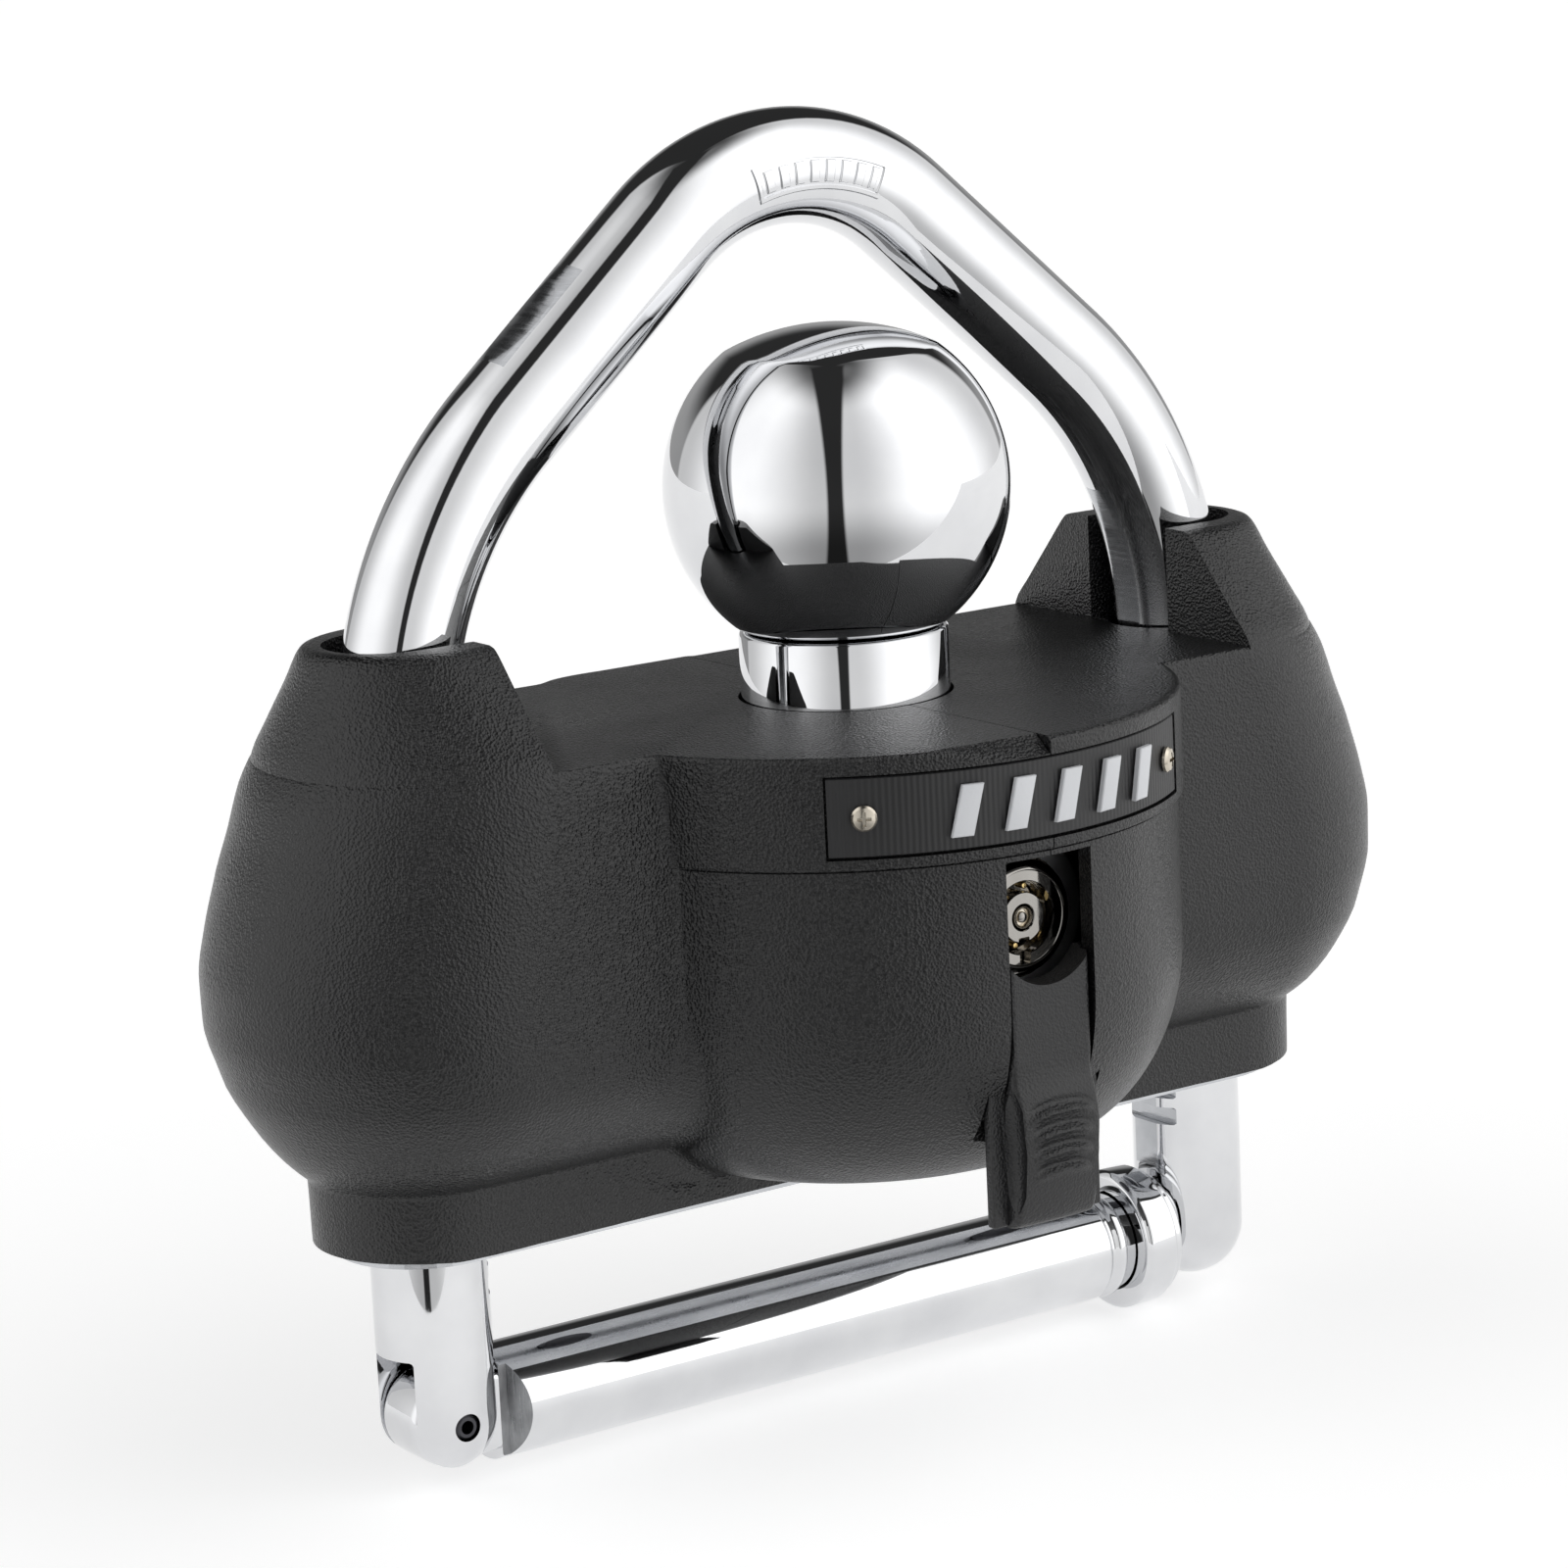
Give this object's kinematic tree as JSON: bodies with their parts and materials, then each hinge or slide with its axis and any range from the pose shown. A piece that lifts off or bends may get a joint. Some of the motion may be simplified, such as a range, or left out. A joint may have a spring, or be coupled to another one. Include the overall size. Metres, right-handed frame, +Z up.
{
  "type": "trailer coupler lock",
  "caption": "Chromed U shackle through a black two-tower lock body with a fixed coupler ball, key cylinder under a sliding dust cover, and a swinging crossbar below.",
  "frame": {"origin": "centre of the base of the whole lock's bounding box, level with the bottom of the crossbar's collar", "axes": "+X from the left (hinge) leg to the right leg, -Y towards the keyhole side, +Z up along the legs"},
  "size_m": [0.1864, 0.0866, 0.1814],
  "materials": {
    "chrome": "mirror plated",
    "plastic": "fine grain",
    "gloss_black": "gloss",
    "zinc": "cast",
    "steel": "machined",
    "dark_steel": "dark plated",
    "nickel": "nickel plated",
    "brass": "machined",
    "paint": "satin paint"
  },
  "bodies": {
    "housing": {"base_plate": "steel", "base_screw_left": "dark_steel", "base_screw_right": "dark_steel", "coupler_ball": "chrome", "label_bar_1": "paint", "label_bar_2": "paint", "label_bar_3": "paint", "label_bar_4": "paint", "label_bar_5": "paint", "label_plate": "plastic", "label_screw_left": "nickel", "label_screw_right": "nickel", "left_cover": "plastic", "left_pawl_spring": "steel", "lock_barrel": "nickel", "lock_bezel": "nickel", "lock_core": "zinc", "lock_set_screw": "dark_steel", "neck_sleeve": "chrome", "right_cover": "plastic", "right_pawl_spring": "steel", "stud_nut": "steel", "stud_washer": "steel"},
    "shackle": {"shackle": "chrome", "hinge_pin": "dark_steel"},
    "crossbar": {"crossbar": "chrome", "crossbar_collar": "chrome"},
    "plug": {"lock_plug": "nickel", "lock_post": "nickel", "drive_cam": "steel", "cam_screw": "dark_steel", "lock_pin_1": "brass", "lock_pin_2": "brass", "lock_pin_3": "brass", "lock_pin_4": "brass", "lock_pin_5": "brass", "lock_pin_6": "brass", "lock_pin_7": "brass"},
    "left_pawl": {"left_pawl": "steel"},
    "right_pawl": {"right_pawl": "steel"},
    "dust_cover": {"dust_cover": "plastic"}
  },
  "joints": [
    {"name": "shackle_slide", "type": "slide", "parent": "housing", "child": "shackle", "axis": [0, 0, 1], "range_m": [-0.008, 0.008]},
    {"name": "crossbar_swing", "type": "hinge", "parent": "shackle", "child": "crossbar", "pos_m": [-0.0655, 0.01383, 0.0104], "axis": [0, 1, 0], "range_deg": [0, 90]},
    {"name": "plug_turn", "type": "hinge", "parent": "housing", "child": "plug", "pos_m": [0, -0.03417, 0.07645], "axis": [0, -1, 0], "range_deg": [0, 90]},
    {"name": "left_pawl_slide", "type": "slide", "parent": "housing", "child": "left_pawl", "axis": [-1, 0, 0], "range_m": [0, 0.002], "deforming": ["left_pawl_spring"]},
    {"name": "right_pawl_slide", "type": "slide", "parent": "housing", "child": "right_pawl", "axis": [1, 0, 0], "range_m": [0, 0.002], "deforming": ["right_pawl_spring"]},
    {"name": "dust_cover_slide", "type": "slide", "parent": "housing", "child": "dust_cover", "axis": [0, 0, 1], "range_m": [0, 0.0134]}
  ],
  "couplings": [
    {"joint": "plug_turn", "follows": "left_pawl_slide", "rad_per_m": 785},
    {"joint": "right_pawl_slide", "follows": "left_pawl_slide", "ratio": 1}
  ]
}
